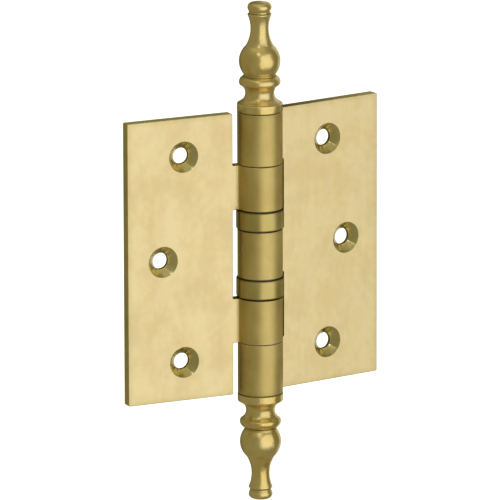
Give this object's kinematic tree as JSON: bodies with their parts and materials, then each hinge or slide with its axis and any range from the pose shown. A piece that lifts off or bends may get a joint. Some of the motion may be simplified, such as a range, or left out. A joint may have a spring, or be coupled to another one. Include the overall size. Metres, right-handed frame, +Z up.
{
  "type": "ball bearing butt hinge",
  "caption": "Solid brass butt hinge with interleaved knuckles, ball bearings between them, countersunk leaves and turned finials at both ends of the pin.",
  "frame": {"origin": "on the pin's axis, halfway up the barrel", "axes": "+Z up along the pin's axis; +X from the pin along the frame leaf to its outer edge; -Y out of the frame leaf's countersunk face"},
  "size_m": [0.0881, 0.0186, 0.1576],
  "materials": {
    "satin_brass": "satin, finely brushed",
    "ring_brass": "satin, turned",
    "polished_brass": "polished, turned",
    "cage_bronze": "plain, lightly oiled",
    "pin_steel": "ground",
    "bearing_steel": "hardened and ground"
  },
  "bodies": {
    "frame": {"frame_leaf": "satin_brass", "hinge_pin": "pin_steel", "upper_finial": "polished_brass", "lower_finial": "polished_brass", "upper_finial_stud": "pin_steel", "lower_finial_stud": "pin_steel", "upper_bearing_shell": "ring_brass", "upper_bearing_frame_race": "bearing_steel", "lower_bearing_shell": "ring_brass", "lower_bearing_frame_race": "bearing_steel"},
    "door": {"door_leaf": "satin_brass", "upper_bearing_door_race": "bearing_steel", "lower_bearing_door_race": "bearing_steel"},
    "upper_ball_set": {"upper_bearing_cage": "cage_bronze", "upper_bearing_balls": "bearing_steel"},
    "lower_ball_set": {"lower_bearing_cage": "cage_bronze", "lower_bearing_balls": "bearing_steel"}
  },
  "joints": [
    {"name": "door_swing", "type": "hinge", "parent": "frame", "child": "door", "pos_m": [0, 0, 0], "axis": [0, 0, 1], "range_deg": [-80, 190]},
    {"name": "upper_balls_roll", "type": "hinge", "parent": "frame", "child": "upper_ball_set", "pos_m": [0, 0, 0.01075], "axis": [0, 0, 1], "range_deg": [-40, 95]},
    {"name": "lower_balls_roll", "type": "hinge", "parent": "frame", "child": "lower_ball_set", "pos_m": [0, 0, -0.01075], "axis": [0, 0, 1], "range_deg": [-40, 95]}
  ],
  "couplings": [
    {"joint": "upper_balls_roll", "follows": "door_swing", "ratio": 0.5},
    {"joint": "lower_balls_roll", "follows": "door_swing", "ratio": 0.5}
  ]
}
